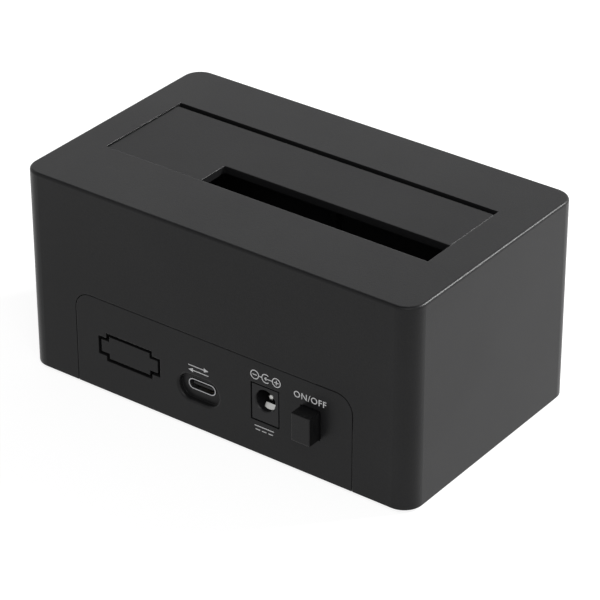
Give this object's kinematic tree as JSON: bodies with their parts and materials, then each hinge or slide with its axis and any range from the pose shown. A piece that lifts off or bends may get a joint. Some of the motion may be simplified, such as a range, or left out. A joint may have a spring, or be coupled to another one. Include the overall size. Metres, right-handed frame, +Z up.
{
  "type": "hard drive docking station",
  "caption": "Box-shaped desktop dock with a sprung top flap over a drive bay, a slim-drive slot, and a rear port panel with a push button.",
  "frame": {"origin": "on the table, under the middle of the footprint, which counts the button as well as the case", "axes": "+Z up, +Y towards the face with the ports, +X towards the end beside the blanked port"},
  "size_m": [0.125, 0.0782, 0.06],
  "materials": {
    "case_plastic": "fine spark-eroded texture",
    "flap_plastic": "fine spark-eroded texture",
    "button_plastic": "satin",
    "cradle_plastic": "matte",
    "foot_rubber": "matte",
    "connector_plastic": "moulded, slightly glossy",
    "contact_gold": "gold-plated",
    "bright_metal": "nickel-plated",
    "socket_steel": "drawn, satin",
    "spring_steel": "drawn wire",
    "screw_steel": "zinc-plated",
    "board_laminate": "solder mask",
    "chip_plastic": "moulded epoxy",
    "can_aluminium": "satin",
    "ceramic": "fired",
    "clear_plastic": "clear, polished",
    "lamp_plastic": "clear, polished"
  },
  "bodies": {
    "case": {"top_shell": "case_plastic", "base_tray": "case_plastic", "spare_port_blank": "case_plastic", "drive_cradle": "cradle_plastic", "foot_front_left": "foot_rubber", "foot_front_right": "foot_rubber", "foot_rear_left": "foot_rubber", "foot_rear_right": "foot_rubber", "flap_hinge_rod": "spring_steel", "flap_spring_left": "spring_steel", "flap_spring_right": "spring_steel", "cradle_screws": "screw_steel", "base_screws": "screw_steel", "board_screws": "screw_steel", "main_board": "board_laminate", "drive_connector_housing": "connector_plastic", "drive_connector_contacts": "contact_gold", "power_jack_body": "connector_plastic", "power_jack_pin": "bright_metal", "power_jack_leaf": "bright_metal", "power_jack_tabs": "bright_metal", "data_socket_shell": "socket_steel", "data_socket_insulator": "connector_plastic", "data_socket_stand": "connector_plastic", "data_socket_contacts": "contact_gold", "power_switch_body": "connector_plastic", "power_switch_spring": "spring_steel", "power_switch_pins": "bright_metal", "light_pipe": "clear_plastic", "status_led": "lamp_plastic", "status_led_leads": "bright_metal", "bridge_chip": "chip_plastic", "flash_chip": "chip_plastic", "regulator_chip": "chip_plastic", "clock_crystal": "bright_metal", "power_inductors": "chip_plastic", "can_capacitors": "can_aluminium", "chip_capacitors": "ceramic"},
    "flap": {"dust_flap": "flap_plastic"},
    "button": {"power_button": "button_plastic", "power_switch_plunger": "connector_plastic"}
  },
  "joints": [
    {"name": "flap_hinge", "type": "hinge", "parent": "case", "child": "flap", "pos_m": [0, -0.01955, 0.0556], "axis": [-1, 0, 0], "range_deg": [0, 88], "stiffness_Nm_per_rad": 0.004, "springref_deg": -57.3, "deforming": ["flap_spring_left", "flap_spring_right"]},
    {"name": "power_button_press", "type": "slide", "parent": "case", "child": "button", "axis": [0, -1, 0], "range_m": [0, 0.0022], "stiffness_N_per_m": 1000, "springref_m": -0.001, "deforming": ["power_switch_spring"]}
  ]
}
